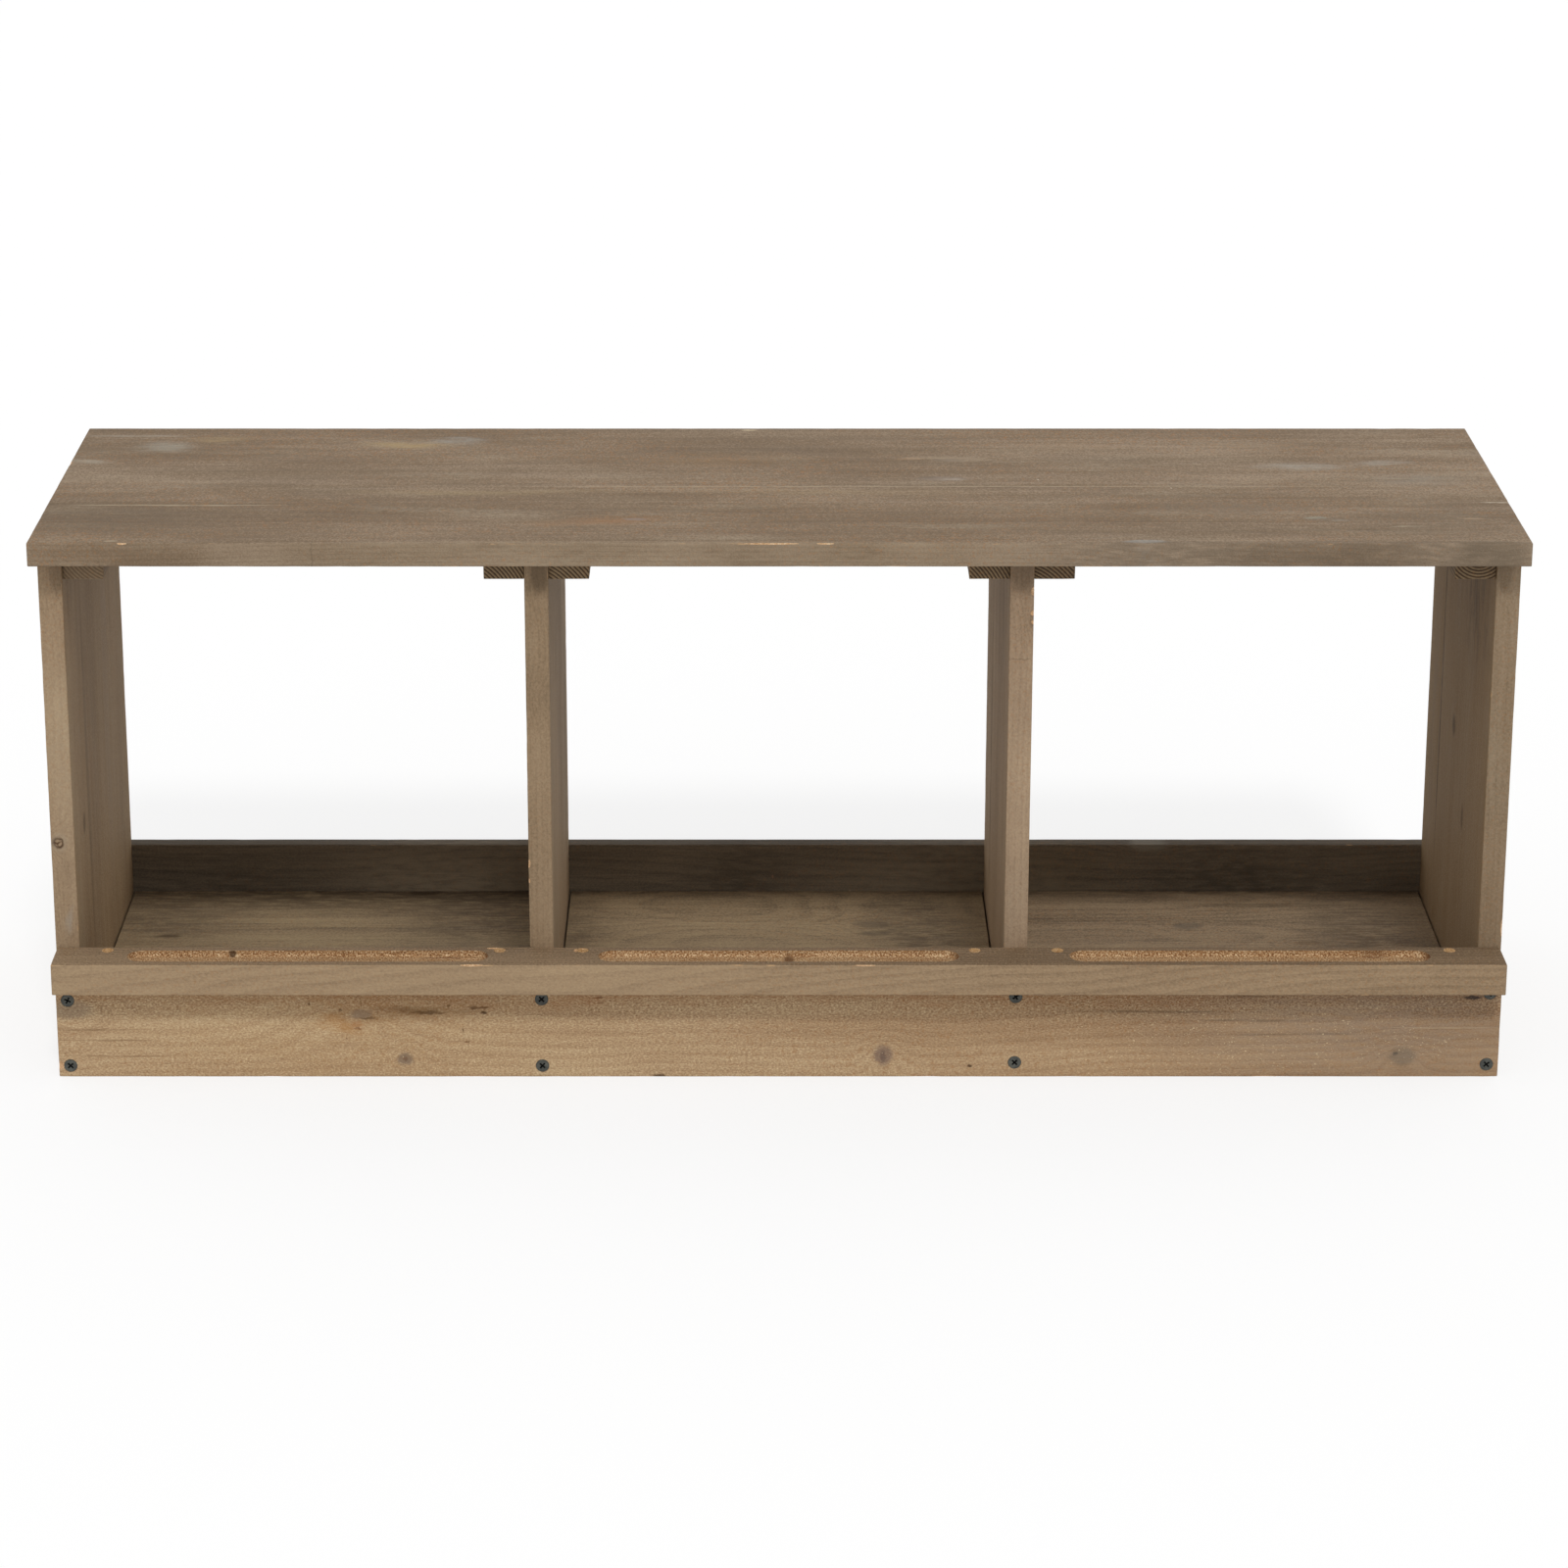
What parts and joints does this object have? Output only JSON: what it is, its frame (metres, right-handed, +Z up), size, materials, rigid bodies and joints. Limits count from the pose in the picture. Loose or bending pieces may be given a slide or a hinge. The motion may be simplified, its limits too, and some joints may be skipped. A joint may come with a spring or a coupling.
{
  "type": "chicken nesting box",
  "caption": "Long low nesting box of stained softwood boards, with open bays side by side, a flat overhanging roof, and a grooved ledge above a low front board.",
  "frame": {"origin": "under the middle of the whole box, on the surface that it stands on", "axes": "+X along the box to the right seen from the front, +Y from the open front towards the back, +Z up"},
  "size_m": [0.985, 0.305, 0.381],
  "materials": {
    "roof_board": "matte grey-brown stain on flat-sawn softwood",
    "upright_board": "matte grey-brown stain, vertical grain",
    "front_board": "matte thin tan stain, speckled, knots",
    "ledge_board": "matte grey-brown stain",
    "floor_board": "matte grey-brown stain, fine stripes",
    "back_board": "matte grey-brown stain",
    "cleat_wood": "matte, sawn ends",
    "raw_wood": "unstained, cut across the grain",
    "screw_steel": "dark grey matte coating"
  },
  "bodies": {
    "root": {"back_board": "back_board", "back_board_screws": "screw_steel", "floor_cleat_left_bay_left": "cleat_wood", "floor_cleat_left_bay_right": "cleat_wood", "floor_cleat_middle_bay_left": "cleat_wood", "floor_cleat_middle_bay_right": "cleat_wood", "floor_cleat_right_bay_left": "cleat_wood", "floor_cleat_right_bay_right": "cleat_wood", "floor_cleat_screws": "screw_steel", "floor_left": "floor_board", "floor_middle": "floor_board", "floor_right": "floor_board", "floor_screws": "screw_steel", "front_board": "front_board", "front_board_screws": "screw_steel", "front_ledge": "ledge_board", "ledge_plugs": "raw_wood", "ledge_screws": "screw_steel", "left_divider": "upright_board", "left_side": "upright_board", "right_divider": "upright_board", "right_side": "upright_board", "roof_cleat_left_bay_left": "cleat_wood", "roof_cleat_left_bay_right": "cleat_wood", "roof_cleat_middle_bay_left": "cleat_wood", "roof_cleat_middle_bay_right": "cleat_wood", "roof_cleat_right_bay_left": "cleat_wood", "roof_cleat_right_bay_right": "cleat_wood", "roof_cleat_screws": "screw_steel", "roof_panel": "roof_board", "roof_screws": "screw_steel"}
  },
  "joints": []
}
